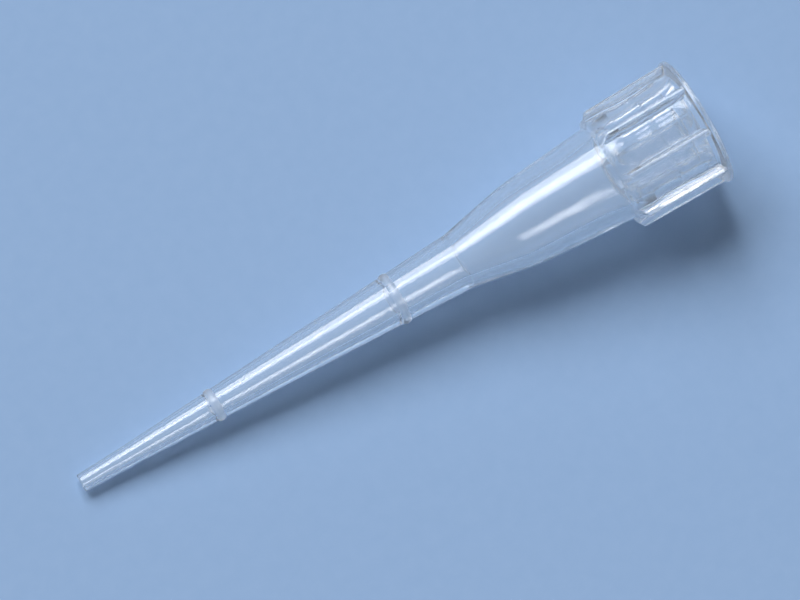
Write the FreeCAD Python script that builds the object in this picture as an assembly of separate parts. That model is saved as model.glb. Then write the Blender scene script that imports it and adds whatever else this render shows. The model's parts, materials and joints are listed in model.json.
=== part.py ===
"""Micropipette tip of the 10 microlitre size: one polypropylene moulding, lying as it comes to rest.

The moulding is drawn standing on its outlet, with its axis on Z and the outlet at Z = 0. It is a turned
outline with two graduation rings, a ribbed collar and a tapering bore. It is then laid on its side, where
the outlet and the lower corners of two ribs carry it. The mouth points to +X, the floor is Z = 0, and the
origin is on the floor under the middle of the part. All sizes are in millimetres.
"""
import FreeCAD, Part

import math
import os

from FreeCAD import Vector

# Lengths along the axis. The long cone takes what these leave of the whole.
LENGTH = 31.5                # outlet to mouth
NOZZLE_LENGTH = 2.2          # finest stretch, at the outlet
FLANK_LENGTH = 3.2           # steep stretch above the long cone
UPPER_LENGTH = 4.43          # almost straight stretch above the flank
COLLAR_LENGTH = 4.67         # foot of the shoulder to mouth

# Bore, from the outlet up
OUTLET_BORE_R = 0.21
CONE_BORE_R = 0.732          # at the top of the long cone
UPPER_BORE_GROWTH = 0.20     # growth in radius up the upper stretch
SEAT_STEP = 0.52             # from the upper bore out to the socket
KNEE_OFFSET = 0.25           # the bore turns this far below the outside

# Socket for the pipette's nose: foot, sealing bead, straight sealing land, lead-in
SOCKET_R = 2.05
BEAD_LENGTH = 1.55
BEAD_PROUD = 0.11            # crest of the bead, in from the socket
LAND_LENGTH = 1.0
LAND_PROUD = 0.05            # reached by a bevel of the same length
LEAD_IN_LENGTH = 1.0
LEAD_IN_GROWTH = 0.30
MOUTH_EDGE_ROUND = 0.10

# Outside of the body
NOZZLE_WALL = 0.195          # at the outlet
NOZZLE_GROWTH = 0.066        # growth in radius up the nozzle
CONE_WALL = 0.582            # at the top of the long cone
UPPER_GROWTH = 0.341         # growth in radius up the upper stretch
FLANK_FOOT_ROUND = 0.8       # inside rounding at the foot of the flank
FLANK_TOP_ROUND = 13.0       # long rounding at its top
FLANK_BORE_ROUND = 5.0       # the same, in the bore
MOULD_LINE_DEPTH = 0.03      # of the line that the mould's split leaves at the foot of the flank
MOULD_LINE_WIDTH = 0.06

# Graduation rings
GRADUATIONS = (2, 10)        # microlitres held up to each ring
RING_WIDTH = 0.40
RING_PROUD = 0.07

# Collar: shoulder, panels, ribs and rim
COLLAR_WALL = 0.52           # from the socket out to the floor between the ribs
SHOULDER_WIDTH = 0.297       # from the upper body out to the same floor
SHOULDER_SLOPE = 0.44        # rise for each millimetre outwards
SCOOP_DEPTH = 0.17           # hollow in each panel floor, deepest at mid-length
SCOOP_MARGIN = 0.08          # floor left unhollowed at each end
RIB_COUNT = 8
RIB_FOOT_HEIGHT = 0.36       # how far a rib stands out at the shoulder
RIB_HEAD_HEIGHT = 0.41       # and at the rim
RIB_WIDTH = 0.32             # across the crowned outer face
RIB_ROOT_WIDTH = 0.42        # across the root, at the panel floor
RIB_CROWN = 0.08             # middle of the outer face, out from its edges
RIB_FOOT_BEVEL = 0.12        # taken off the underside of a rib's outer corner
RIB_BEVEL_SLOPE = 1.4        # rise for each millimetre outwards
RIM_PROUD = 0.04             # how far it stands beyond the heads of the ribs
RIM_THICKNESS = 0.45         # where it leaves the panels
RIM_SLOPE = 0.45             # rise of its underside for each millimetre outwards
RIM_FOOT_ROUND = 0.08        # between its underside and its outside
RIM_MOUTH_ROUND = 0.10       # between its outside and the mouth

# Radii that follow
UPPER_BORE_R = SOCKET_R - SEAT_STEP
FLANK_BORE_R = UPPER_BORE_R - UPPER_BORE_GROWTH
LAND_R = SOCKET_R - LAND_PROUD
BEAD_R = SOCKET_R - BEAD_PROUD
MOUTH_R = LAND_R + LEAD_IN_GROWTH
NOZZLE_R = OUTLET_BORE_R + NOZZLE_WALL
NOZZLE_TOP_R = NOZZLE_R + NOZZLE_GROWTH
FLANK_FOOT_R = CONE_BORE_R + CONE_WALL
PANEL_R = SOCKET_R + COLLAR_WALL
SHOULDER_R = PANEL_R - SHOULDER_WIDTH
FLANK_TOP_R = SHOULDER_R - UPPER_GROWTH
RIB_FOOT_R = PANEL_R + RIB_FOOT_HEIGHT
RIB_HEAD_R = PANEL_R + RIB_HEAD_HEIGHT
RIM_R = RIB_HEAD_R + RIM_PROUD

# Heights that follow, each from the outlet
COLLAR_HEIGHT = LENGTH - COLLAR_LENGTH
UPPER_HEIGHT = COLLAR_HEIGHT - UPPER_LENGTH
FLANK_HEIGHT = UPPER_HEIGHT - FLANK_LENGTH
RIM_FOOT_HEIGHT = LENGTH - RIM_THICKNESS
RIM_EDGE_HEIGHT = RIM_FOOT_HEIGHT + RIM_SLOPE * (RIM_R - PANEL_R)
LAND_TOP_HEIGHT = LENGTH - LEAD_IN_LENGTH
LAND_FOOT_HEIGHT = LAND_TOP_HEIGHT - LAND_LENGTH
BEAD_TOP_HEIGHT = LAND_FOOT_HEIGHT - LAND_PROUD
SOCKET_HEIGHT = LAND_FOOT_HEIGHT - BEAD_LENGTH
PANEL_HEIGHT = COLLAR_HEIGHT + SHOULDER_SLOPE * SHOULDER_WIDTH

CLEAR = 1.0                  # how far a cutting shape reaches past what it cuts

AXIS = Vector(0, 0, 1)
ORIGIN = Vector(0, 0, 0)


def cone_r(height):
    """Outside radius of the long cone at a height."""
    share = (height - NOZZLE_LENGTH) / (FLANK_HEIGHT - NOZZLE_LENGTH)
    return NOZZLE_TOP_R + (FLANK_FOOT_R - NOZZLE_TOP_R) * share


def shoulder_height(radius):
    """Height of the sloping shoulder at a radius."""
    return COLLAR_HEIGHT + SHOULDER_SLOPE * (radius - SHOULDER_R)


def graduation_height(volume):
    """Height to which a volume in microlitres fills the long taper of the bore."""
    taper = (CONE_BORE_R - OUTLET_BORE_R) / (FLANK_HEIGHT - KNEE_OFFSET)
    surface_r = (OUTLET_BORE_R ** 3 + 3 * taper * volume / math.pi) ** (1 / 3)
    return (surface_r - OUTLET_BORE_R) / taper


def rounded_outline(corners):
    """A closed wire in the plane of radius and height through corners (radius, height, rounding)."""
    points = [Vector(radius, 0, height) for radius, height, _ in corners]
    count = len(points)
    starts, ends, arcs = [], [], []
    for i, (_, _, rounding) in enumerate(corners):
        here = points[i]
        back = (points[i - 1] - here).normalize()
        onward = (points[(i + 1) % count] - here).normalize()
        if rounding == 0:
            starts.append(here)
            ends.append(here)
            arcs.append(None)
            continue
        half_angle = back.getAngle(onward) / 2
        cut_back = rounding / math.tan(half_angle)
        bisector = (back + onward).normalize()
        centre = here + bisector * (rounding / math.sin(half_angle))
        middle = centre - bisector * rounding
        starts.append(here + back * cut_back)
        ends.append(here + onward * cut_back)
        arcs.append(middle)
    edges = []
    for i in range(count):
        if arcs[i]:
            edges.append(Part.Arc(starts[i], arcs[i], ends[i]).toShape())
        edges.append(Part.LineSegment(ends[i], starts[(i + 1) % count]).toShape())
    return Part.Wire(edges)


def turned(corners):
    """A solid of revolution about the axis from rounded corners."""
    return Part.Face(rounded_outline(corners)).revolve(ORIGIN, AXIS, 360)


def body_outside():
    """The outside of the moulding without its rings, ribs and rim."""
    return turned([
        (0, 0, 0),
        (NOZZLE_R, 0, 0),
        (NOZZLE_TOP_R, NOZZLE_LENGTH, 0),
        (FLANK_FOOT_R, FLANK_HEIGHT, FLANK_FOOT_ROUND),
        (FLANK_TOP_R, UPPER_HEIGHT, FLANK_TOP_ROUND),
        (SHOULDER_R, COLLAR_HEIGHT, 0),
        (PANEL_R, PANEL_HEIGHT, 0),
        (PANEL_R, LENGTH, 0),
        (0, LENGTH, 0),
    ])


def rim():
    """The rim round the mouth, with a sloping underside, let into the collar."""
    return turned([
        (MOUTH_R, RIM_FOOT_HEIGHT, 0),
        (PANEL_R, RIM_FOOT_HEIGHT, 0),
        (RIM_R, RIM_EDGE_HEIGHT, RIM_FOOT_ROUND),
        (RIM_R, LENGTH, RIM_MOUTH_ROUND),
        (MOUTH_R, LENGTH, 0),
    ])


def graduation_ring(volume):
    """A low rounded ring round the cone, let into it."""
    low = graduation_height(volume) - RING_WIDTH / 2
    high = low + RING_WIDTH
    inner_r = cone_r(low) - RING_PROUD
    foot, head = Vector(cone_r(low), 0, low), Vector(cone_r(high), 0, high)
    crest = (foot + head) / 2 + Vector(RING_PROUD, 0, 0)
    outline = Part.Wire([
        Part.Arc(foot, crest, head).toShape(),
        Part.LineSegment(head, Vector(inner_r, 0, high)).toShape(),
        Part.LineSegment(Vector(inner_r, 0, high), Vector(inner_r, 0, low)).toShape(),
        Part.LineSegment(Vector(inner_r, 0, low), foot).toShape(),
    ])
    return Part.Face(outline).revolve(ORIGIN, AXIS, 360)


def mould_line():
    """The fine notch round the foot of the flank."""
    return turned([
        (FLANK_FOOT_R - MOULD_LINE_DEPTH, FLANK_HEIGHT, 0),
        (FLANK_FOOT_R + MOULD_LINE_DEPTH, FLANK_HEIGHT - MOULD_LINE_WIDTH, 0),
        (FLANK_FOOT_R + MOULD_LINE_DEPTH, FLANK_HEIGHT + MOULD_LINE_WIDTH, 0),
    ])


def panel_scoop(angle):
    """A shallow hollow, straight across and curved along the axis, in the panel at an angle."""
    middle = (PANEL_HEIGHT + RIM_FOOT_HEIGHT) / 2
    half_length = (RIM_FOOT_HEIGHT - PANEL_HEIGHT) / 2 - SCOOP_MARGIN
    scoop_r = (half_length ** 2 + SCOOP_DEPTH ** 2) / (2 * SCOOP_DEPTH)
    half_width = PANEL_R * math.tan(math.pi / RIB_COUNT)
    start = Vector(PANEL_R - SCOOP_DEPTH + scoop_r, -half_width, middle)
    scoop = Part.makeCylinder(scoop_r, 2 * half_width, start, Vector(0, 1, 0))
    return scoop.rotate(ORIGIN, AXIS, angle)


def rib_ends():
    """The turned space that all ribs end in, from the shoulder with its bevel up into the rim."""
    inner_r = SHOULDER_R - RIB_ROOT_WIDTH
    bevel_r = RIB_FOOT_R - RIB_FOOT_BEVEL
    head_height = (RIM_EDGE_HEIGHT + LENGTH) / 2
    beyond_r = RIM_R + CLEAR
    bevel_height = shoulder_height(bevel_r) + RIB_BEVEL_SLOPE * (beyond_r - bevel_r)
    return turned([
        (inner_r, shoulder_height(inner_r), 0),
        (bevel_r, shoulder_height(bevel_r), 0),
        (beyond_r, bevel_height, 0),
        (beyond_r, head_height, 0),
        (inner_r, head_height, 0),
    ])


def rib(angle, ends):
    """One upright rib with a crowned face, drafted from root to face and from foot to head."""
    inner_r = SHOULDER_R - RIB_ROOT_WIDTH
    edge_r = RIB_FOOT_R - RIB_CROWN
    draft = (RIB_ROOT_WIDTH - RIB_WIDTH) / 2 / (edge_r - PANEL_R)
    inner_half = RIB_WIDTH / 2 + draft * (edge_r - inner_r)
    left_root, left_edge = Vector(inner_r, inner_half, 0), Vector(edge_r, RIB_WIDTH / 2, 0)
    right_root, right_edge = Vector(inner_r, -inner_half, 0), Vector(edge_r, -RIB_WIDTH / 2, 0)
    section = Part.Wire([
        Part.LineSegment(right_root, right_edge).toShape(),
        Part.Arc(right_edge, Vector(RIB_FOOT_R, 0, 0), left_edge).toShape(),
        Part.LineSegment(left_edge, left_root).toShape(),
        Part.LineSegment(left_root, right_root).toShape(),
    ])
    blade = Part.Face(section).extrude(Vector(0, 0, LENGTH))
    foot_height = shoulder_height(RIB_FOOT_R)
    lean = math.degrees(math.atan((RIB_HEAD_R - RIB_FOOT_R) / (RIM_FOOT_HEIGHT - foot_height)))
    blade.rotate(Vector(RIB_FOOT_R, 0, foot_height), Vector(0, 1, 0), lean)
    return blade.common(ends).rotate(ORIGIN, AXIS, angle)


def bore():
    """All that is hollow: the fine taper, the flared bore and the socket."""
    below = -CLEAR
    above = LENGTH + CLEAR
    beyond_r = (MOUTH_R + RIB_HEAD_R) / 2
    hollow = turned([
        (0, below, 0),
        (OUTLET_BORE_R, below, 0),
        (OUTLET_BORE_R, 0, 0),
        (CONE_BORE_R, FLANK_HEIGHT - KNEE_OFFSET, FLANK_FOOT_ROUND),
        (FLANK_BORE_R, UPPER_HEIGHT - KNEE_OFFSET, FLANK_BORE_ROUND),
        (UPPER_BORE_R, COLLAR_HEIGHT - KNEE_OFFSET, 0),
        (SOCKET_R, SOCKET_HEIGHT, 0),
        (SOCKET_R, BEAD_TOP_HEIGHT, 0),
        (LAND_R, LAND_FOOT_HEIGHT, 0),
        (LAND_R, LAND_TOP_HEIGHT, 0),
        (MOUTH_R, LENGTH, MOUTH_EDGE_ROUND),
        (beyond_r, LENGTH, 0),
        (beyond_r, above, 0),
        (0, above, 0),
    ])
    return hollow.cut(bead())


def bead():
    """The rounded sealing bead that stands in from the socket."""
    crest = Vector(BEAD_R, 0, (SOCKET_HEIGHT + BEAD_TOP_HEIGHT) / 2)
    foot = Vector(SOCKET_R, 0, SOCKET_HEIGHT)
    head = Vector(SOCKET_R, 0, BEAD_TOP_HEIGHT)
    outline = Part.Wire([Part.Arc(foot, crest, head).toShape(), Part.LineSegment(head, foot).toShape()])
    return Part.Face(outline).revolve(ORIGIN, AXIS, 360)


def moulding():
    """The whole tip, standing on its outlet."""
    half_step = 180 / RIB_COUNT
    scoops = [panel_scoop(2 * i * half_step) for i in range(RIB_COUNT)]
    body = body_outside().cut(scoops + [mould_line()])
    ends = rib_ends()
    ribs = [rib((2 * i + 1) * half_step, ends) for i in range(RIB_COUNT)]
    rings = [graduation_ring(volume) for volume in GRADUATIONS]
    return body.fuse(ribs + rings + [rim()]).cut(bore()).removeSplitter()


def on_its_side(shape, lean):
    """A copy turned over towards +X, with the mouth raised by the lean in degrees."""
    return shape.rotated(ORIGIN, Vector(0, 1, 0), 90 - lean)


def resting_lean(tip):
    """The angle at which the outlet and the rib corners, or the rim, touch the floor together."""
    beyond = Part.makeCylinder(RIM_R + CLEAR, LENGTH, Vector(0, 0, FLANK_HEIGHT), AXIS)
    thin_end = tip.cut(beyond)
    thick_end = tip.common(beyond)
    lean = 0.0
    for _ in range(6):
        low = on_its_side(thin_end, lean).optimalBoundingBox().ZMin
        high = on_its_side(thick_end, lean).optimalBoundingBox().ZMin
        lean += math.degrees(math.atan((low - high) / LENGTH))
    return lean


def at_rest(tip):
    """The tip lying on the floor Z = 0, centred on the origin."""
    lean = resting_lean(tip)
    lying = on_its_side(tip, lean)
    box = lying.optimalBoundingBox()
    outlet = Vector(-(box.XMin + box.XMax) / 2, 0, -box.ZMin)
    lying.translate(outlet)
    print("lean", round(lean, 4), "outlet at", outlet, "volume", round(lying.Volume, 3))
    return lying


if __name__ == "__main__":
    os.makedirs("parts", exist_ok=True)
    at_rest(moulding()).Solids[0].exportStep("parts/pipette_tip.step")
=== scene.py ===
# %% [markdown]
# # A micropipette tip in clear polypropylene
# The real thing is one moulding, 31.5 mm long: a fine hollow taper, a flared body, and a collar with eight
# ribs that pushes onto a pipette's nose. The CAD model already holds its true size and its place on the
# floor, and stays as it is. It could simply be given a clear material, but clear plastic shows every flat
# facet twice. So this lesson makes the piece that is seen: a finer mesh with rounded edges, and then the
# plastic, the light and the camera that show it.

# %% Load the frame
import json
import math

import bmesh
import bpy
from mathutils import Matrix, Vector


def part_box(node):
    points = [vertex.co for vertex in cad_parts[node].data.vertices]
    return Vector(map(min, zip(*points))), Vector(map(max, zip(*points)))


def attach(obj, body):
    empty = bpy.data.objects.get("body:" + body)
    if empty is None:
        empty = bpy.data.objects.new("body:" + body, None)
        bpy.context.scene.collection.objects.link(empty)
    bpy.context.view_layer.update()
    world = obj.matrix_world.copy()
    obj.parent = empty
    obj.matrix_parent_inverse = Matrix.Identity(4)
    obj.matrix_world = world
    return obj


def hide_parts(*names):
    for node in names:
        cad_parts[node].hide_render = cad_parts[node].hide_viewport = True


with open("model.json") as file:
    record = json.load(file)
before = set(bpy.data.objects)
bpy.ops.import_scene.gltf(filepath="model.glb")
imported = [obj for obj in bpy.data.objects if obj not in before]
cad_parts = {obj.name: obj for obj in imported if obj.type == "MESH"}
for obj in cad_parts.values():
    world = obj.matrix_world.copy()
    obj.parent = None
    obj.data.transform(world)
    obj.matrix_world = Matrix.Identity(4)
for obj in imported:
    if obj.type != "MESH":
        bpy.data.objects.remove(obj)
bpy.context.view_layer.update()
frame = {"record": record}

# %% [markdown]
# ## Where the tip lies
# The record names two places on the tip's axis, the outlet and the middle of the mouth. Between them they
# give its length and the way it points. The tip could be modelled lying down, but every height along it
# would then need a slanting sum. It is easier standing on its outlet, as it would be turned on a lathe, so
# everything is made that way and laid down at the end.

# %% The axis from the record
mm = 0.001
INSIDE_BOX = 0.005 * mm          # how far the rim stays inside the CAD model's box
mounts = {mount["name"]: mount for mount in frame["record"]["mounts"]}
outlet = Vector(mounts["outlet"]["pos_m"])
mouth = Vector(mounts["mouth_rim"]["pos_m"])
axis = (mouth - outlet).normalized()
LENGTH = (mouth - outlet).length
RIM_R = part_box("pipette_tip")[1].y - INSIDE_BOX
LAND_R = mounts["socket"]["dims"]["r_mm"] * mm
print("length", round(LENGTH / mm, 3), "mm, rim radius", round(RIM_R / mm, 3), "mm")

# %% [markdown]
# ## The turned outline
# Apart from its ribs the whole moulding is turned, inside and out, so one closed outline in the plane of
# radius and height draws it: up the outside, over the mouth and down the bore. The outline could be drawn
# by hand as a curve. A list of radii and heights is used instead, because each size can then be read,
# checked and changed. A corner has a rounding where the mould has one, and each round takes several short
# steps.

# %% Two helpers for the outline
STEP_TURN = math.radians(7)      # the most that a rounding turns in one step
FEWEST_STEPS = 5


def rounded(corners):
    """The points of a line through corners (radius, height, rounding), with arcs at the rounded ones."""
    points = []
    for i, (r, h, rounding) in enumerate(corners):
        here = Vector((r, h))
        if rounding == 0:
            points.append(here)
            continue
        back = (Vector(corners[i - 1][:2]) - here).normalized()
        onward = (Vector(corners[i + 1][:2]) - here).normalized()
        half = back.angle(onward) / 2
        centre = here + (back + onward).normalized() * rounding / math.sin(half)
        start = here + back * rounding / math.tan(half) - centre
        end = here + onward * rounding / math.tan(half) - centre
        turn = start.angle_signed(end)
        steps = max(FEWEST_STEPS, math.ceil(abs(turn) / STEP_TURN))
        for k in range(steps + 1):
            points.append(centre + Matrix.Rotation(-turn * k / steps, 2) @ start)
    return points


def bulged(start, end, height, steps):
    """The points of a shallow arc from start to end, standing out to its right by the height."""
    start, end = Vector(start), Vector(end)
    along = (end - start).normalized()
    half = (end - start).length / 2
    arc_r = (half ** 2 + height ** 2) / (2 * height)
    points = []
    for k in range(steps + 1):
        reach = half * (2 * k / steps - 1)
        rise = math.sqrt(arc_r ** 2 - reach ** 2) - (arc_r - height)
        points.append((start + end) / 2 + along * reach + Vector((along.y, -along.x)) * rise)
    return points


print("a rounding turns at most", round(math.degrees(STEP_TURN)), "degrees in one step")

# %% [markdown]
# ## The body's stretches
# From the outlet up, the outside is a short nozzle, a long cone, a steeper flank and a slim upper body. A
# sloping shoulder then leads out to the panels of the collar. Each stretch is a straight cone, so all it
# needs is a radius at each end. The heights could be counted up from the outlet. They are counted down
# from the mouth, because the collar has to fit a pipette and the rest hangs from it.

# %% Sizes of the body
NOZZLE_LENGTH = 2.2 * mm
COLLAR_LENGTH, UPPER_LENGTH, FLANK_LENGTH = 4.67 * mm, 4.43 * mm, 3.2 * mm
COLLAR_HEIGHT = LENGTH - COLLAR_LENGTH
UPPER_HEIGHT = COLLAR_HEIGHT - UPPER_LENGTH
FLANK_HEIGHT = UPPER_HEIGHT - FLANK_LENGTH
NOZZLE_R, NOZZLE_TOP_R = 0.405 * mm, 0.471 * mm
FLANK_FOOT_R, FLANK_TOP_R = 1.314 * mm, 1.932 * mm
SHOULDER_R, PANEL_R = 2.273 * mm, 2.57 * mm
SHOULDER_SLOPE = 0.44            # rise for each millimetre outwards
PANEL_HEIGHT = COLLAR_HEIGHT + SHOULDER_SLOPE * (PANEL_R - SHOULDER_R)
print("flank from", round(FLANK_HEIGHT / mm, 2), "to", round(UPPER_HEIGHT / mm, 2), "mm up the axis")

# %% [markdown]
# ## The graduation rings
# Two low rounded bands go round the long cone, where its bore holds 2 and 10 microlitres. They could be
# separate rings laid over the cone, but their inner halves would show through the clear wall. So each one
# is a shallow arc in the outline itself, which stands out from the cone's own line.

# %% Cone and rings
RING_HEIGHTS = (6.7346 * mm, 15.9066 * mm)
RING_WIDTH, RING_PROUD = 0.40 * mm, 0.07 * mm
RING_STEPS = 10


def cone_r(height):
    """Outside radius of the long cone at a height."""
    share = (height - NOZZLE_LENGTH) / (FLANK_HEIGHT - NOZZLE_LENGTH)
    return NOZZLE_TOP_R + (FLANK_FOOT_R - NOZZLE_TOP_R) * share


def ring_outline(height):
    """A graduation ring: a low rounded band on the cone."""
    low, high = height - RING_WIDTH / 2, height + RING_WIDTH / 2
    return bulged((cone_r(low), low), (cone_r(high), high), RING_PROUD, RING_STEPS)


rings = [point for height in RING_HEIGHTS for point in ring_outline(height)]
print(len(rings), "points in the rings")

# %% [markdown]
# ## The outside of the body
# At the foot of the flank, where the parts of the mould meet, a very fine line runs round the tip. It
# could be drawn in the colour alone, but then it would not break the long highlight as the real one does,
# so it is a notch in the outline. The flank runs into the upper body by a very large rounding, and the
# outlet's lip is rounded to a hair.

# %% The outside, from the outlet to the foot of the collar
OUTLET_BORE_R, OUTLET_ROUND = 0.21 * mm, 0.03 * mm
MOULD_LINE = 0.015 * mm          # depth of the notch
FLANK_SLOPE = (FLANK_TOP_R - FLANK_FOOT_R) / (UPPER_HEIGHT - FLANK_HEIGHT)
FLANK_ROUND, SHOULDER_ROUND = 13 * mm, 0.06 * mm
outlet_lip = Vector(((OUTLET_BORE_R + NOZZLE_R) / 2, 0))
nozzle = rounded([
    (*outlet_lip, 0),
    (NOZZLE_R, 0, OUTLET_ROUND),
    (NOZZLE_TOP_R, NOZZLE_LENGTH, 0),
])
flank = rounded([
    (cone_r(FLANK_HEIGHT - MOULD_LINE), FLANK_HEIGHT - MOULD_LINE, 0),
    (FLANK_FOOT_R - MOULD_LINE, FLANK_HEIGHT, 0),
    (FLANK_FOOT_R + FLANK_SLOPE * MOULD_LINE, FLANK_HEIGHT + MOULD_LINE, 0),
    (FLANK_TOP_R, UPPER_HEIGHT, FLANK_ROUND),
    (SHOULDER_R, COLLAR_HEIGHT, SHOULDER_ROUND),
    (PANEL_R, PANEL_HEIGHT, 0),
])
outside = nozzle + rings + flank
print(len(outside), "points up the outside of the body")

# %% [markdown]
# ## The collar's rows
# Between the ribs each panel is scooped: hollowed straight across by a shallow round cut along the axis. A
# Boolean could cut the hollows, but it would leave long thin faces that spoil the smooth shading. Instead
# the rows of the mesh follow the hollow's curved edge, where it catches the light. Here the rows only get
# their number and their place at the middle of a panel. They are bent once the body is turned.

# %% Rows of the panels
RIM_HEIGHT = 0.45 * mm           # from the rim's foot up to the mouth
RIM_FOOT = LENGTH - RIM_HEIGHT
SCOOP_ROWS = 16
SCOOP_DEPTH, SCOOP_MARGIN = 0.17 * mm, 0.08 * mm
panel_middle = (PANEL_HEIGHT + RIM_FOOT) / 2
scoop_half = (RIM_FOOT - PANEL_HEIGHT) / 2 - SCOOP_MARGIN
scoop_r = (scoop_half ** 2 + SCOOP_DEPTH ** 2) / (2 * SCOOP_DEPTH)


def scooped_x(height):
    """Distance of the hollow's floor from the axis at a height, along the middle of a panel."""
    reach = height - panel_middle
    return PANEL_R - SCOOP_DEPTH + scoop_r - math.sqrt(scoop_r ** 2 - reach ** 2)


def hollow_rows(turn):
    """Heights of the collar's rows at an angle from the middle of a panel."""
    depth = SCOOP_DEPTH - PANEL_R * (1 - math.cos(turn))
    reach = math.sqrt(2 * scoop_r * depth - depth ** 2)
    rows = [panel_middle + reach * (2 * k / SCOOP_ROWS - 1) for k in range(SCOOP_ROWS + 1)]
    return [PANEL_HEIGHT, *rows, RIM_FOOT]


middle_rows = hollow_rows(0)
panel = [Vector((PANEL_R, h)) for h in middle_rows[1:]]
print(len(panel), "rows up each panel")

# %% [markdown]
# ## The rim
# The rim is the strong ring that keeps the mouth round. It flares out from the panels by a sloping
# underside, rounds over to a narrow band and rounds again into the flat ring of the mouth. It could be a
# ring of its own, but the ribs run into its underside, so it is part of the outline and the underside is
# cut into a few rows for them.

# %% Rows of the rim
RIM_SLOPE = 0.45                 # rise of the underside for each millimetre outwards
RIM_EDGE = RIM_FOOT + RIM_SLOPE * (RIM_R - PANEL_R)
RIM_UNDER_ROUND, RIM_TOP_ROUND = 0.08 * mm, 0.10 * mm
MOUTH_R = LAND_R + 0.30 * mm
UNDERSIDE_ROWS = 4
rim_line = rounded([
    (PANEL_R, RIM_FOOT, 0),
    (RIM_R, RIM_EDGE, RIM_UNDER_ROUND),
    (RIM_R, LENGTH, RIM_TOP_ROUND),
    (MOUTH_R, LENGTH, 0),
])[:-1]
underside = [rim_line[0].lerp(rim_line[1], k / UNDERSIDE_ROWS) for k in range(UNDERSIDE_ROWS + 1)]
collar = panel + underside[1:-1] + rim_line[1:]
print(len(collar), "rows up the collar")

# %% [markdown]
# ## The mouth and the socket
# The bore is as much seen as the outside. It opens in a lead-in, and then a short straight land and a
# rounded bead seal on the pipette. One smooth taper would be simpler, but the lamp draws its own short
# stripes on the land and the bead, and they tell the eye that the collar is hollow. A row close to the
# land's foot keeps the step below it from pulling at the land's shading.

# %% The bore of the collar, from the mouth down
SOCKET_R = LAND_R + 0.05 * mm
LEAD_IN_LENGTH, LAND_LENGTH = 1.0 * mm, 1.0 * mm
LAND_TOP = LENGTH - LEAD_IN_LENGTH
LAND_FOOT = LAND_TOP - LAND_LENGTH
SUPPORT_ROW = 0.04 * mm
BEAD_TOP, BEAD_FOOT = LAND_FOOT - 0.15 * mm, LAND_FOOT - 1.55 * mm
BEAD_PROUD, BEAD_STEPS = 0.11 * mm, 12
MOUTH_ROUND, LEAD_IN_ROUND = 0.10 * mm, 0.4 * mm
mouth_part = rounded([
    (PANEL_R, LENGTH, 0),
    (MOUTH_R, LENGTH, MOUTH_ROUND),
    (LAND_R, LAND_TOP, LEAD_IN_ROUND),
    (LAND_R, LAND_FOOT + SUPPORT_ROW, 0),
    (LAND_R, LAND_FOOT, 0),
])[1:]
socket_part = bulged((SOCKET_R, BEAD_TOP), (SOCKET_R, BEAD_FOOT), BEAD_PROUD, BEAD_STEPS)
print(len(mouth_part) + len(socket_part), "points down the collar's bore")

# %% [markdown]
# ## The bore of the body
# Below the bead the bore narrows in the same three stretches as the outside. It could share the outside's
# corners, but they would then lie side by side and the wall would thin at each. So every corner of the
# bore lies a little lower down, and the wall keeps its thickness. Large roundings keep the bends soft,
# because a sharp one inside clear plastic shows as a dark line.

# %% The rest of the bore, down to the outlet
UPPER_BORE_R, FLANK_BORE_R, CONE_BORE_R = 1.53 * mm, 1.33 * mm, 0.732 * mm
UPPER_BORE_ROUND, FLANK_BORE_ROUND, CONE_BORE_ROUND = 8 * mm, 5 * mm, 0.8 * mm
OUTLET_BORE_ROUND = 0.02 * mm
KNEE_OFFSET = 0.25 * mm          # how much lower a corner of the bore lies than the outside's
taper_part = rounded([
    (SOCKET_R, BEAD_FOOT, 0),
    (UPPER_BORE_R, COLLAR_HEIGHT - KNEE_OFFSET, UPPER_BORE_ROUND),
    (FLANK_BORE_R, UPPER_HEIGHT - KNEE_OFFSET, FLANK_BORE_ROUND),
    (CONE_BORE_R, FLANK_HEIGHT - KNEE_OFFSET, CONE_BORE_ROUND),
    (OUTLET_BORE_R, 0, OUTLET_BORE_ROUND),
    (*outlet_lip, 0),
])[1:-1]
outline = outside + collar + mouth_part + socket_part + taper_part
print(len(outline), "points round the whole outline")

# %% [markdown]
# ## Turning the body
# A lathe shape can be made by the Screw modifier or by Spin in edit mode. Spin is used, because its mesh
# is real at once and can be bent and extruded in the next steps. A circle primitive with one corner for
# each point becomes the outline, and Spin sweeps it round the axis. It leaves a seam where the last copy
# meets the first, which merging closes.

# %% Turn the outline
RIB_COUNT = 8
STEPS = 192
TINY = 1e-7


def deselect():
    """Nothing is selected, so that the next operator acts on one piece only."""
    bpy.ops.object.select_all(action="DESELECT")


def edit(piece, kind):
    """Opens a piece for editing with nothing picked, in vertex, edge or face mode."""
    bpy.context.view_layer.objects.active = piece
    bpy.ops.object.mode_set(mode="EDIT")
    bpy.ops.mesh.select_mode(type=kind)
    bpy.ops.mesh.select_all(action="DESELECT")
    return bmesh.from_edit_mesh(piece.data)


deselect()
bpy.ops.mesh.primitive_circle_add(vertices=len(outline), radius=LENGTH / 2)
tip = bpy.context.object
tip.name = tip.data.name = "tip_moulding"
for vertex, (r, h) in zip(tip.data.vertices, outline):
    vertex.co = (r, 0, h)
edit(tip, "VERT")
bpy.ops.mesh.select_all(action="SELECT")
bpy.ops.mesh.spin(steps=STEPS, angle=2 * math.pi, center=(0, 0, 0), axis=(0, 0, 1))
bpy.ops.mesh.select_all(action="SELECT")
bpy.ops.mesh.remove_doubles(threshold=TINY)
bpy.ops.object.mode_set(mode="OBJECT")
print(len(tip.data.vertices), "vertices after the spin")

# %% [markdown]
# ## More steps at the ribs
# A rib has a narrow crowned face that needs finer steps than a panel. More steps in the spin would give
# them, but all round, and most would be wasted. Instead the even steps are moved: eight of them are
# crowded into the root of each rib, and the rest spread out over the panels.

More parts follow.
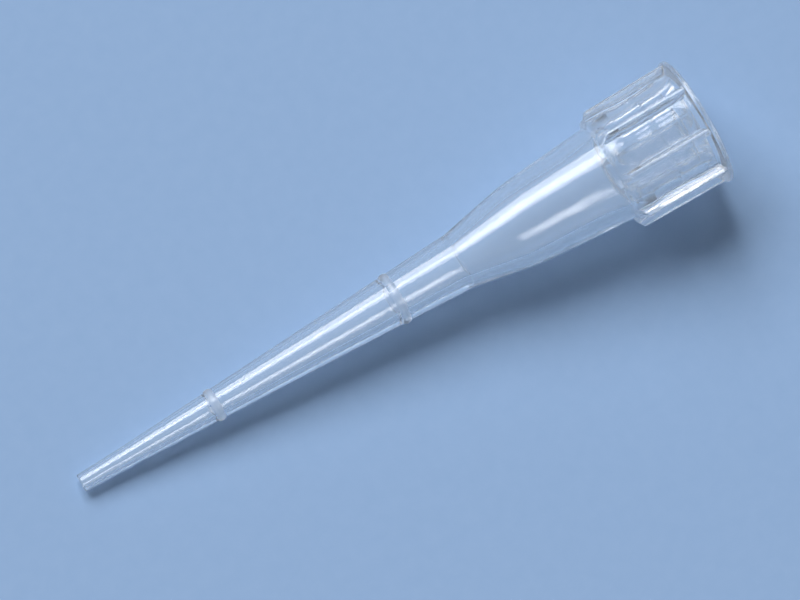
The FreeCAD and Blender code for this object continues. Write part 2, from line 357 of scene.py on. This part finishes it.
# %% Crowd the steps at the ribs
EIGHTH = 2 * math.pi / RIB_COUNT
RIB_STEPS = 8                    # steps of the turning across one rib
RIB_ROOT_HALF = 0.21 * mm
ROOT_TURN = math.asin(RIB_ROOT_HALF / PANEL_R)  # half of a rib's root, as a turn about the axis
even_turn = math.pi * RIB_STEPS / STEPS         # the same half in the even steps of the spin


def rib_frame(point):
    """The rotation of the nearest rib's middle, and the point as seen with that rib turned onto +X."""
    turn = (math.floor(math.atan2(point.y, point.x) / EIGHTH) + 0.5) * EIGHTH
    return turn, Matrix.Rotation(-turn, 3, "Z") @ point


def crowded(across):
    """Where a point at an even angle from the middle of a rib goes."""
    if abs(across) < even_turn:
        return across * ROOT_TURN / even_turn
    share = (abs(across) - even_turn) / (EIGHTH / 2 - even_turn)
    return math.copysign(ROOT_TURN + (EIGHTH / 2 - ROOT_TURN) * share, across)


for vertex in tip.data.vertices:
    local = rib_frame(vertex.co)[1]
    across = math.atan2(local.y, local.x)
    vertex.co = Matrix.Rotation(crowded(across) - across, 3, "Z") @ vertex.co
print("a rib's root is", round(2 * RIB_ROOT_HALF / mm, 2), "mm wide, in", RIB_STEPS, "steps")

# %% [markdown]
# ## Scooping the panels
# Ribs and panels repeat every eighth of a turn, so a point is described by its angle from the nearest
# rib's middle, and one rule does all eight panels. Each point of a panel slides along the axis to its bent
# row and, inside the hollow, in towards the axis. Moving points keeps the mesh closed and even, which
# cutting would not.

# %% Bend the rows and hollow the panels
def from_panel(local):
    """How far round a local point is from the middle of its panel, no nearer a rib than its root."""
    return EIGHTH / 2 - max(abs(math.atan2(local.y, local.x)), ROOT_TURN)


for vertex in tip.data.vertices:
    turn, local = rib_frame(vertex.co)
    on_panel = math.hypot(*local.xy) > PANEL_R - TINY
    if not on_panel or not PANEL_HEIGHT - TINY < local.z < RIM_FOOT + TINY:
        continue
    row = min(range(len(middle_rows)), key=lambda k: abs(middle_rows[k] - local.z))
    around = from_panel(local)
    height = hollow_rows(around)[row]
    r = PANEL_R
    if abs(height - panel_middle) < scoop_half:
        r = min(r, scooped_x(height) / math.cos(around))
    outward = local.xy.normalized() * r
    vertex.co = Matrix.Rotation(turn, 3, "Z") @ Vector((*outward, height))
print("panels hollowed", round(SCOOP_DEPTH / mm, 2), "mm deep")

# %% [markdown]
# ## The shape of a rib
# Eight narrow ribs stiffen the thin collar, and their feet rest on the rack. Each has drafted sides, so
# that it leaves the mould, and a crowned face, which leans out a little towards the mouth and runs into
# the underside of the rim. A rib could be a bar joined on by a Boolean, but it would leave seams at its
# root. Its shape is written as three small rules instead, which say where the points of the body's own
# skin go.

# %% The crowned face of a rib
RIB_HALF, RIB_CROWN = 0.16 * mm, 0.08 * mm
RIB_FOOT_R = PANEL_R + 0.36 * mm
RIB_HEAD_R = PANEL_R + 0.41 * mm
TRIES = 6                        # enough for the meeting of two slopes to settle
rib_foot = COLLAR_HEIGHT + SHOULDER_SLOPE * (RIB_FOOT_R - SHOULDER_R)
crown_r = (RIB_HALF ** 2 + RIB_CROWN ** 2) / (2 * RIB_CROWN)


def on_face(share, height):
    """A point of a rib's face at a height; share runs from -1 to 1 across the face."""
    rise = (height - rib_foot) / (RIM_FOOT - rib_foot)
    y = RIB_HALF * share
    drop = crown_r - math.sqrt(crown_r ** 2 - y ** 2)
    return Vector((RIB_FOOT_R + (RIB_HEAD_R - RIB_FOOT_R) * rise - drop, y, height))


def meeting(share):
    """The point where the face runs into the rim's underside."""
    height = RIM_FOOT
    for _ in range(TRIES):
        height = RIM_FOOT + RIM_SLOPE * (math.hypot(*on_face(share, height).xy) - PANEL_R)
    return on_face(share, height)


def on_root(share, height):
    """A point of the rib's edge where it crosses the rim's underside, below the meeting."""
    end = meeting(share)
    r = PANEL_R + (height - RIM_FOOT) / RIM_SLOPE
    start_y = PANEL_R * math.sin(ROOT_TURN * share)
    y = start_y + (end.y - start_y) * (height - RIM_FOOT) / (end.z - RIM_FOOT)
    return Vector((math.sqrt(r ** 2 - y ** 2), y, height))


print("face meets the rim", round((meeting(0).z - RIM_FOOT) / mm, 3), "mm above the rim's foot")

# %% [markdown]
# ## Raising the ribs
# The strips of skin under all eight ribs are picked by their place and raised by one Extrude. It makes the
# side walls too. Bars joined on would each leave a wall inside, and this leaves none. The raised strips
# don't move yet: they are set on the crowned face in the next cell.

# %% Extrude the strips under the ribs
head_row = underside[-1].y
mesh = edit(tip, "FACE")
for face in mesh.faces:
    middle = face.calc_center_median()
    local = rib_frame(middle)[1]
    in_rows = PANEL_HEIGHT < middle.z < head_row and math.hypot(*local.xy) > PANEL_R - SCOOP_DEPTH
    face.select = in_rows and abs(math.atan2(local.y, local.x)) < ROOT_TURN
strips = sum(face.select for face in mesh.faces)
bmesh.update_edit_mesh(tip.data)
bpy.ops.mesh.extrude_region_move()
print(strips, "faces raised in", RIB_COUNT, "strips")

# %% [markdown]
# ## Setting the ribs' points
# Every raised point goes onto the crowned face, and the rows on the rim's underside are spaced anew up to
# where face and underside meet. The foot of a rib goes on down the shoulder's slope, and then steeper, as
# a small bevel. Moving the points by rule, not by a scale or a slide, puts each one exactly on the shape.

# %% Set the raised points
BEVEL_R = RIB_FOOT_R - 0.12 * mm
BEVEL_SLOPE = 1.4                # rise of the foot for each millimetre outwards, past the bevel
ROOT_EDGE = 1.001                # the edge of a root, with room for rounding errors
mesh = bmesh.from_edit_mesh(tip.data)
raised = 0
for vertex in mesh.verts:
    turn, local = rib_frame(vertex.co)
    share = math.atan2(local.y, local.x) / ROOT_TURN
    in_rows = PANEL_HEIGHT - TINY < local.z < head_row + TINY
    if abs(share) > ROOT_EDGE or not in_rows or math.hypot(*local.xy) < PANEL_R - SCOOP_DEPTH:
        continue
    height = local.z
    if height > RIM_FOOT + TINY:
        row = min(range(UNDERSIDE_ROWS + 1), key=lambda k: abs(underside[k].y - local.z))
        height = RIM_FOOT + (meeting(share).z - RIM_FOOT) * row / UNDERSIDE_ROWS
    if vertex.select:
        raised += 1
        place = on_face(share, height)
        if height < PANEL_HEIGHT + TINY:
            place.z += SHOULDER_SLOPE * (place.x - PANEL_R)
            place.z += (BEVEL_SLOPE - SHOULDER_SLOPE) * max(0, place.x - BEVEL_R)
    elif height > RIM_FOOT + TINY:
        place = on_root(share, height)
    else:
        continue
    vertex.co = Matrix.Rotation(turn, 3, "Z") @ place
bpy.ops.mesh.select_all(action="SELECT")
bpy.ops.mesh.remove_doubles(threshold=TINY)
bpy.ops.object.mode_set(mode="OBJECT")
print(raised, "points set on the ribs")

# %% [markdown]
# ## Rounding the edges
# A mould has no knife-sharp corners, and in clear plastic each rounded one draws a thin bright line. A
# Bevel modifier would round every sharp edge of the piece. Here only some are wanted: the long edges at
# the roots of the ribs, those round their feet and those at the ends of the panels. So they are picked by
# place and by how sharply their two faces meet, and Bevel in edit mode rounds them.

# %% Round the edges of the collar
EDGE_ROUND = 0.05 * mm
CORNER_TURN = math.radians(40)   # the least turn between two faces that counts as a corner


def is_round_edge(edge):
    """True where two walls of the collar meet at a corner that the mould rounds."""
    if not edge.is_manifold or edge.calc_face_angle() < CORNER_TURN:
        return False
    r = max(math.hypot(*vertex.co.xy) for vertex in edge.verts)
    low = min(vertex.co.z for vertex in edge.verts)
    high = max(vertex.co.z for vertex in edge.verts)
    return r > PANEL_R - SCOOP_DEPTH and low > PANEL_HEIGHT - TINY and high < RIM_FOOT + TINY


mesh = edit(tip, "EDGE")
picked = [edge for edge in mesh.edges if is_round_edge(edge)]
for edge in picked:
    edge.select = True
bmesh.update_edit_mesh(tip.data)
bpy.ops.mesh.bevel(offset=EDGE_ROUND, segments=3, profile=0.5, affect="EDGES", clamp_overlap=False)
bpy.ops.mesh.select_all(action="SELECT")
bpy.ops.mesh.normals_make_consistent(inside=False)
bpy.ops.object.mode_set(mode="OBJECT")
print(len(picked), "edges rounded")

# %% [markdown]
# ## The hollows' edges
# The curved edge where a hollow runs out into its panel is crisp on the real tip. Smooth shading would
# melt it away, because the two faces meet there at a very small angle. An extra row of faces on each side
# could hold it. Marking it sharp does the same with no new faces.

# %% Mark the edges of the hollows
NEAR = 1e-6                      # two places this close are the same


def on_hollow_edge(point):
    """True for a point on the curved edge of a panel's hollow."""
    local = rib_frame(point)[1]
    rows = hollow_rows(from_panel(local))
    on_panel = abs(math.hypot(*local.xy) - PANEL_R) < NEAR
    return on_panel and min(abs(local.z - rows[1]), abs(local.z - rows[-2])) < NEAR


mesh = edit(tip, "EDGE")
for edge in mesh.edges:
    if all(on_hollow_edge(vertex.co) for vertex in edge.verts):
        edge.select = True
marked = sum(edge.select for edge in mesh.edges)
bmesh.update_edit_mesh(tip.data)
bpy.ops.mesh.mark_sharp()
bpy.ops.object.mode_set(mode="OBJECT")
print(marked, "edges marked round the hollows")

# %% [markdown]
# ## Smoothing
# The mesh is fine enough to be shaded as one smooth surface, except where a real edge runs, such as the
# mould line and the ends of the bore's steps. A Subdivision Surface would smooth it too, but it would
# round those edges off and make four times the faces. Smoothing by angle keeps them. Weighted normals then
# stop the narrow faces of a rounding from pulling at the shading of the wide faces beside them.

# %% Smooth the rest
CREASE_TURN = math.radians(32)   # a sharper turn than this stays an edge
deselect()
tip.select_set(True)
bpy.ops.object.shade_smooth_by_angle(angle=CREASE_TURN, keep_sharp_edges=True)
bpy.ops.object.modifier_add(type="WEIGHTED_NORMAL")
tip.modifiers[-1].keep_sharp = True
bpy.ops.object.modifier_apply(modifier=tip.modifiers[-1].name)
print("smoothed below", round(math.degrees(CREASE_TURN)), "degrees")

# %% [markdown]
# ## Flow lines in the plastic
# Molten plastic runs into the mould along the axis and leaves faint lines, in the gloss and as the
# slightest of ripples. They could be a wave pattern, but waves repeat and the eye finds them. Noise drawn
# out along the axis never does. The Mapping node turns the pattern to lie as the tip will, because the
# mesh is laid down before it is rendered.

# %% Streaks along the axis
STREAK_SCALE, STREAK_DETAIL = 900, 2
STREAK_STRETCH = 8               # how many times longer than wide
tip_turn = Matrix((axis, (0, 1, 0), axis.cross(Vector((0, 1, 0))))).transposed().to_euler()


def flow_streaks(nodes, links, place):
    """Noise drawn out along the tip's axis."""
    turned = nodes.new("ShaderNodeMapping")
    turned.vector_type = "TEXTURE"
    turned.inputs["Rotation"].default_value = tip_turn
    turned.inputs["Scale"].default_value = (STREAK_STRETCH, 1, 1)
    links.new(place.outputs["Object"], turned.inputs["Vector"])
    streaks = nodes.new("ShaderNodeTexNoise")
    streaks.inputs["Scale"].default_value = STREAK_SCALE
    streaks.inputs["Detail"].default_value = STREAK_DETAIL
    links.new(turned.outputs["Vector"], streaks.inputs["Vector"])
    return streaks.outputs["Fac"]


print("pattern turned", [round(math.degrees(angle), 1) for angle in tip_turn], "degrees")

# %% [markdown]
# ## The milky tint
# Natural polypropylene is clear but never quite even: fine crystals make it a shade warmer here and there.
# One flat colour would look like glass. A soft noise between two colours, both almost white, gives the
# change, and it is faint because light crosses the wall many times and gains the tint each time.

# %% Clouds of tint
CLOUD_SCALE = 350
WARMER, CLEARER = (0.997, 0.992, 0.985, 1), (1.0, 0.997, 0.992, 1)


def milky_tint(nodes, links, place):
    """A nearly white colour that drifts between a warmer and a clearer one."""
    clouds = nodes.new("ShaderNodeTexNoise")
    clouds.inputs["Scale"].default_value = CLOUD_SCALE
    links.new(place.outputs["Object"], clouds.inputs["Vector"])
    tint = nodes.new("ShaderNodeMix")
    tint.data_type = "RGBA"
    tint.inputs["A"].default_value = WARMER
    tint.inputs["B"].default_value = CLEARER
    links.new(clouds.outputs["Fac"], tint.inputs["Factor"])
    return tint.outputs["Result"]


print("tint from", WARMER[:3], "to", CLEARER[:3])

# %% [markdown]
# ## The plastic
# Polypropylene bends light as window glass does, and scatters a little of it. A Volume Scatter inside the
# wall would be the true way, but it is very slow to render and its grain would hide the fine edges. So the
# scattering is a small white share of the surface: the shader is nearly all glass, and the rest is matt. A
# little sheen veils the plastic where it is seen at a slant.

# %% The recipe of the plastic
REFRACTION = 1.49
SHEEN, SHEEN_SPREAD = 0.12, 0.5
STREAK_LOW, STREAK_HIGH = 0.3, 0.7              # the range that the noise mostly keeps to
RIPPLE_STRENGTH, RIPPLE_HEIGHT = 0.1, 0.01 * mm


def polypropylene(name, clearness, smooth, rough):
    """Milky clear plastic; its roughness varies along the flow lines from smooth to rough."""
    plastic = bpy.data.materials.new(name)
    plastic.use_nodes = True
    nodes, links = plastic.node_tree.nodes, plastic.node_tree.links
    shader = nodes["Principled BSDF"]
    shader.inputs["Transmission Weight"].default_value = clearness
    shader.inputs["IOR"].default_value = REFRACTION
    shader.inputs["Sheen Weight"].default_value = SHEEN
    shader.inputs["Sheen Roughness"].default_value = SHEEN_SPREAD
    place = nodes.new("ShaderNodeTexCoord")
    links.new(milky_tint(nodes, links, place), shader.inputs["Base Color"])

    streaks = flow_streaks(nodes, links, place)
    spread = nodes.new("ShaderNodeMapRange")
    spread.inputs["From Min"].default_value = STREAK_LOW
    spread.inputs["From Max"].default_value = STREAK_HIGH
    spread.inputs["To Min"].default_value = smooth
    spread.inputs["To Max"].default_value = rough
    links.new(streaks, spread.inputs["Value"])
    links.new(spread.outputs["Result"], shader.inputs["Roughness"])
    ripple = nodes.new("ShaderNodeBump")
    ripple.inputs["Strength"].default_value = RIPPLE_STRENGTH
    ripple.inputs["Distance"].default_value = RIPPLE_HEIGHT
    links.new(streaks, ripple.inputs["Height"])
    links.new(ripple.outputs["Normal"], shader.inputs["Normal"])
    tip.data.materials.append(plastic)
    return plastic


print("refraction", REFRACTION, "and sheen", SHEEN)

# %% [markdown]
# ## Four finishes
# One mould gives four finishes. A polished pin forms the bore, so it is the clearest. The outside carries
# a little more haze. The collar has a finer grain that blurs what lies behind it, and the rings are
# lightly frosted, so that they can be seen. The tip could be cut into four pieces, but it is one moulding,
# so it stays one mesh and each face gets the number of its finish.

# %% The finishes and where they go
finishes = [
    polypropylene("polypropylene_outside", 0.97, 0.07, 0.12),
    polypropylene("polypropylene_bore", 0.985, 0.07, 0.12),
    polypropylene("polypropylene_rings", 0.91, 0.25, 0.36),
    polypropylene("polypropylene_collar", 0.97, 0.14, 0.20),
]
OUTSIDE, BORE, RINGS, COLLAR = range(len(finishes))
ring_bands = [(height - RING_WIDTH / 2, height + RING_WIDTH / 2) for height in RING_HEIGHTS]
for face in tip.data.polygons:
    faces_axis = face.normal.xy.dot(face.center.xy) < 0
    if faces_axis and math.hypot(*face.center.xy) < MOUTH_R:
        face.material_index = BORE
    elif any(low < face.center.z < high for low, high in ring_bands):
        face.material_index = RINGS
    elif face.center.z > COLLAR_HEIGHT:
        face.material_index = COLLAR
    else:
        face.material_index = OUTSIDE
for number, finish in enumerate(finishes):
    print(sum(face.material_index == number for face in tip.data.polygons), "faces of", finish.name)

# %% [markdown]
# ## Laying the tip down
# A tip can't stand by itself. It lies on its outlet and on the feet of two ribs, with its axis a little
# raised, as the record's outlet and axis say. The object could be turned and left so, but the CAD node's
# object sits at the origin with its place in its mesh, and so does this one: the turn is applied to the
# mesh. The mesh is then counted and measured, to be sure that it is closed and that its faces point
# outwards.

# %% Lay the tip down
sideways = Vector((0, 1, 0)).cross(axis)
laid = Matrix((sideways, (0, 1, 0), axis)).transposed()
tip.matrix_world = Matrix.Translation(outlet) @ laid.to_4x4()
bpy.ops.object.transform_apply(location=True, rotation=True, scale=True)
check = bmesh.new()
check.from_mesh(tip.data)
loose = sum(not edge.is_manifold for edge in check.edges)
triangles = sum(len(face.verts) - 2 for face in check.faces)
volume = check.calc_volume(signed=True)
check.free()
print(loose, "open edges,", triangles, "triangles, volume", round(volume / mm ** 3, 2), "cubic mm")
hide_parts("pipette_tip")
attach(tip, "root")

# %% [markdown]
# ## The floor
# A plain pale blue sheet. Clear plastic shows what lies under it, so the floor's colour is half of the
# tip's own. A flat colour would look like empty air, so a fine, faint grain runs through the colour and
# stands up a little as a bump. The sheet is large, so that its edge stays out of every view.

# %% Floor
FLOOR_SIZE = 3.0
SHEET_DARK, SHEET_LIGHT = (0.285, 0.435, 0.685, 1), (0.315, 0.465, 0.715, 1)
SHEET_ROUGHNESS, SHEET_GLOSS = 0.85, 0.1
GRAIN_SCALE, GRAIN_DETAIL = 1500, 4
GRAIN_STRENGTH, GRAIN_HEIGHT = 0.3, 0.02 * mm
deselect()
bpy.ops.mesh.primitive_plane_add(size=FLOOR_SIZE)
floor = bpy.context.object
floor.name = "floor"
sheet = bpy.data.materials.new("pale_sheet")
sheet.use_nodes = True
floor.data.materials.append(sheet)
nodes, links = sheet.node_tree.nodes, sheet.node_tree.links
matt = nodes["Principled BSDF"]
matt.inputs["Roughness"].default_value = SHEET_ROUGHNESS
matt.inputs["Specular IOR Level"].default_value = SHEET_GLOSS
place = nodes.new("ShaderNodeTexCoord")
grain = nodes.new("ShaderNodeTexNoise")
grain.inputs["Scale"].default_value = GRAIN_SCALE
grain.inputs["Detail"].default_value = GRAIN_DETAIL
links.new(place.outputs["Object"], grain.inputs["Vector"])
shade = nodes.new("ShaderNodeMix")
shade.data_type = "RGBA"
shade.inputs["A"].default_value = SHEET_DARK
shade.inputs["B"].default_value = SHEET_LIGHT
links.new(grain.outputs["Fac"], shade.inputs["Factor"])
links.new(shade.outputs["Result"], matt.inputs["Base Color"])
fibres = nodes.new("ShaderNodeBump")
fibres.inputs["Strength"].default_value = GRAIN_STRENGTH
fibres.inputs["Distance"].default_value = GRAIN_HEIGHT
links.new(grain.outputs["Fac"], fibres.inputs["Height"])
links.new(fibres.outputs["Normal"], matt.inputs["Normal"])
print("floor", floor.dimensions.x, "m across")

# %% [markdown]
# ## The floor as the plastic shows it
# Milky plastic spreads some of its light down onto the sheet, so the sheet seen through the tip is never
# as dark as the open shadow beside it. A path tracer would need very many rays to find that light. Light
# Path gives it a short way, as painted light: for a ray that has been through or off the plastic, part of
# the sheet glows evenly in its own colour, as an emission, though the sheet is no lamp. The camera still
# sees the plain sheet, with the tip's whole shadow.

# %% Let the sheet shine a little through the plastic
SHINE = 0.62                     # how much of the sheet's own colour shines through the plastic


def off_plastic(tree):
    """A socket that is 1 for a ray that has been through or off something glossy, and 0 for any other."""
    rays = tree.nodes.new("ShaderNodeLightPath")
    either = tree.nodes.new("ShaderNodeMath")
    either.operation = "MAXIMUM"
    tree.links.new(rays.outputs["Is Glossy Ray"], either.inputs[0])
    tree.links.new(rays.outputs["Is Transmission Ray"], either.inputs[1])
    return either.outputs["Value"]


amount = nodes.new("ShaderNodeMath")
amount.operation = "MULTIPLY"
amount.inputs[1].default_value = SHINE
links.new(off_plastic(sheet.node_tree), amount.inputs[0])
# Painted light: the sheet glows as an emission for rays that have been through or off the plastic.
glow = nodes.new("ShaderNodeEmission")
links.new(shade.outputs["Result"], glow.inputs["Color"])
seen = nodes.new("ShaderNodeMixShader")
links.new(amount.outputs["Value"], seen.inputs["Fac"])
links.new(matt.outputs["BSDF"], seen.inputs[1])
links.new(glow.outputs["Emission"], seen.inputs[2])
links.new(seen.outputs["Shader"], nodes["Material Output"].inputs["Surface"])
print("the sheet shines with", SHINE, "of its colour through the plastic")

# %% [markdown]
# ## The surroundings
# In a real studio the walls send weak light from all round, which fills the shadow. A single grey world
# would do that. But smooth plastic also mirrors what is round it, and on a real table that is the same
# pale sheet, swept up behind the tip as in a small light tent. So Light Path gives the world two colours:
# a dim one that lights, and a pale blue one that the plastic mirrors and shows through itself.

# %% Surroundings
FILL_LIGHT = (0.08, 0.08, 0.08, 1)
SWEPT_SHEET = (0.36, 0.46, 0.60, 1)
world = bpy.data.worlds.new("studio")
bpy.context.scene.world = world
world.use_nodes = True
nodes, links = world.node_tree.nodes, world.node_tree.links
surroundings = nodes.new("ShaderNodeMix")
surroundings.data_type = "RGBA"
surroundings.inputs["A"].default_value = FILL_LIGHT
surroundings.inputs["B"].default_value = SWEPT_SHEET
links.new(off_plastic(world.node_tree), surroundings.inputs["Factor"])
links.new(surroundings.outputs["Result"], nodes["Background"].inputs["Color"])
print("surroundings", FILL_LIGHT[:3], "as light and", SWEPT_SHEET[:3], "in the plastic")

# %% [markdown]
# ## The softbox
# One large softbox stands behind the tip, a little to the left. Smooth round plastic mirrors it as a
# single long stripe with crisp sides, so its size and height set the width and the place of that stripe. A
# small near lamp could draw the same stripe, but the floor would be much brighter under it than beside it.
# From two metres away the light falls evenly.

# %% Softbox
TO_RIGHT, TO_BACK = math.radians(-8), math.radians(42)      # tilts from straight overhead
SOFTBOX_DISTANCE = 2.10
SOFTBOX_SIZE = (1.80, 1.26)
SOFTBOX_POWER = 58.5
direction = Vector((math.tan(TO_RIGHT), math.tan(TO_BACK), 1)).normalized()
deselect()
bpy.ops.object.light_add(type="AREA", location=direction * SOFTBOX_DISTANCE)
softbox = bpy.context.object
softbox.name = "key_softbox"
softbox.data.shape = "RECTANGLE"
softbox.data.size, softbox.data.size_y = SOFTBOX_SIZE
softbox.data.energy = SOFTBOX_POWER
softbox.rotation_euler = direction.to_track_quat("Z", "Y").to_euler()
print("softbox", SOFTBOX_SIZE[0], "by", SOFTBOX_SIZE[1], "m, at", SOFTBOX_DISTANCE, "m")

# %% [markdown]
# ## The camera
# The tip is small, so a long lens keeps its far end from looking smaller than its near one. The camera
# looks almost straight down, from a little to the outlet's side and to the near side. The tip runs up to
# the right across the picture. The tip itself can't be turned for that, so the camera is, about its own
# line of sight.

# %% Camera
LENS = 400
VIEW_WIDTH = 34.93 * mm
TIP_RISE = math.radians(30.48)
TILT_LEFT, TILT_NEAR = math.radians(12.0), math.radians(9)
AIM_RIGHT, AIM_UP = 0.375 * mm, 0.035 * mm      # where it aims, from the middle of the axis
NEAREST, FARTHEST = 0.01, 10
bpy.ops.object.camera_add()
camera = bpy.context.object
camera.name = "camera"
camera.data.lens = LENS
camera.data.clip_start, camera.data.clip_end = NEAREST, FARTHEST
bpy.context.scene.camera = camera
towards_camera = Vector((-math.tan(TILT_LEFT), -math.tan(TILT_NEAR), 1)).normalized()
along = (axis - towards_camera * axis.dot(towards_camera)).normalized()
right = Matrix.Rotation(-TIP_RISE, 3, towards_camera) @ along
up = towards_camera.cross(right)
aim = (outlet + mouth) / 2 + right * AIM_RIGHT + up * AIM_UP
distance = VIEW_WIDTH * LENS / camera.data.sensor_width
turned = Matrix((right, up, towards_camera)).transposed().to_4x4()
camera.matrix_world = Matrix.Translation(aim + towards_camera * distance) @ turned
print("camera", round(distance / mm), "mm away")

# %% [markdown]
# ## Finish
# Light that is caught inside the wall turns many times before it comes out. The usual limits on its
# bounces would leave those places black, so they are raised. Plain colour management shows colours as they
# are written.

# %% Finish
BOUNCES, GLOSSY_BOUNCES = 24, 12
cycles = bpy.context.scene.cycles
cycles.max_bounces = cycles.transmission_bounces = BOUNCES
cycles.glossy_bounces = GLOSSY_BOUNCES
bpy.context.scene.view_settings.view_transform = "Standard"
